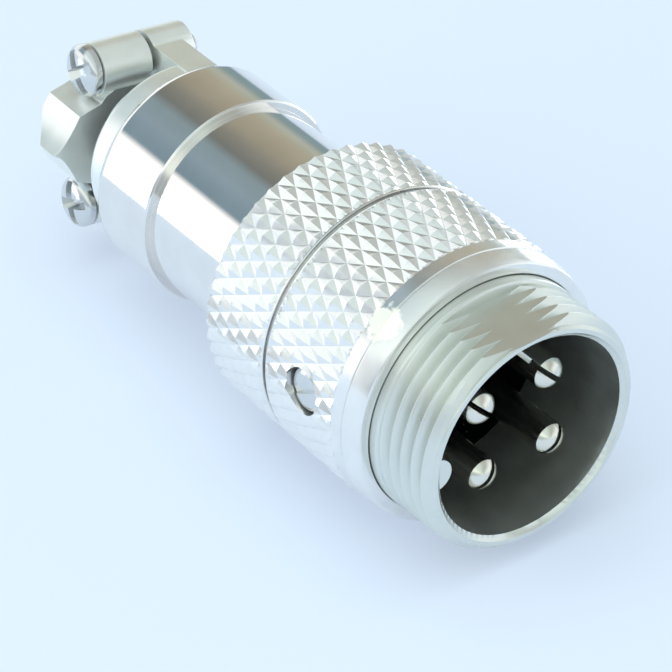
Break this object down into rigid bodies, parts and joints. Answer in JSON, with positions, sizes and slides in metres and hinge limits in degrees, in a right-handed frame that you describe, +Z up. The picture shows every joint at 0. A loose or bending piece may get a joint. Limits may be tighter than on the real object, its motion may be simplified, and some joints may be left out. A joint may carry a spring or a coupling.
{
  "type": "circular cable connector plug",
  "caption": "Male circular cable plug: threaded nose with keyed socket and contact pins, knurled sleeve with a grub screw, and a backshell with a screwed cable clamp.",
  "frame": {"origin": "on the connector's axis, at the front face of the knurled sleeve, where the mating nut on the threaded nose stops", "axes": "+X along the axis out of the threaded nose, the mating direction; the cable leaves along -X; +Z up with the plug lying on its knurled sleeve; the clamp's screw heads face -Y"},
  "size_m": [0.0451, 0.0184, 0.0184],
  "materials": {
    "nickel_plate": "bright satin nickel plating on turned and cast metal",
    "black_insulator": "moulded black phenolic, slightly dusty",
    "silver_contact": "dull silver plating on turned brass",
    "steel_screw": "zinc-plated steel"
  },
  "bodies": {
    "housing": {"front_shell": "nickel_plate", "insulator": "black_insulator", "insulator_plate": "black_insulator", "pin_1": "silver_contact", "pin_2": "silver_contact", "pin_3": "silver_contact", "pin_4": "silver_contact", "retaining_ring": "steel_screw", "knurled_sleeve": "nickel_plate", "set_screw": "steel_screw", "backshell": "nickel_plate"},
    "saddle": {"clamp_saddle": "nickel_plate"},
    "screw_upper": {"clamp_screw_upper": "steel_screw"},
    "screw_lower": {"clamp_screw_lower": "steel_screw"}
  },
  "joints": [
    {"name": "saddle_slide", "type": "slide", "parent": "housing", "child": "saddle", "axis": [0, -0.9945, 0.1045], "range_m": [-0.0003, 0.002]},
    {"name": "upper_screw_turn", "type": "hinge", "parent": "saddle", "child": "screw_upper", "pos_m": [-0.0374, 0.00052, 0.00497], "axis": [0, -0.9945, 0.1045], "range_deg": [-271, 1801]},
    {"name": "lower_screw_turn", "type": "hinge", "parent": "saddle", "child": "screw_lower", "pos_m": [-0.0374, -0.00052, -0.00497], "axis": [0, -0.9945, 0.1045], "range_deg": [-271, 1801]}
  ],
  "couplings": [
    {"joint": "upper_screw_turn", "follows": "saddle_slide", "rad_per_m": 15708},
    {"joint": "lower_screw_turn", "follows": "saddle_slide", "rad_per_m": 15708}
  ]
}
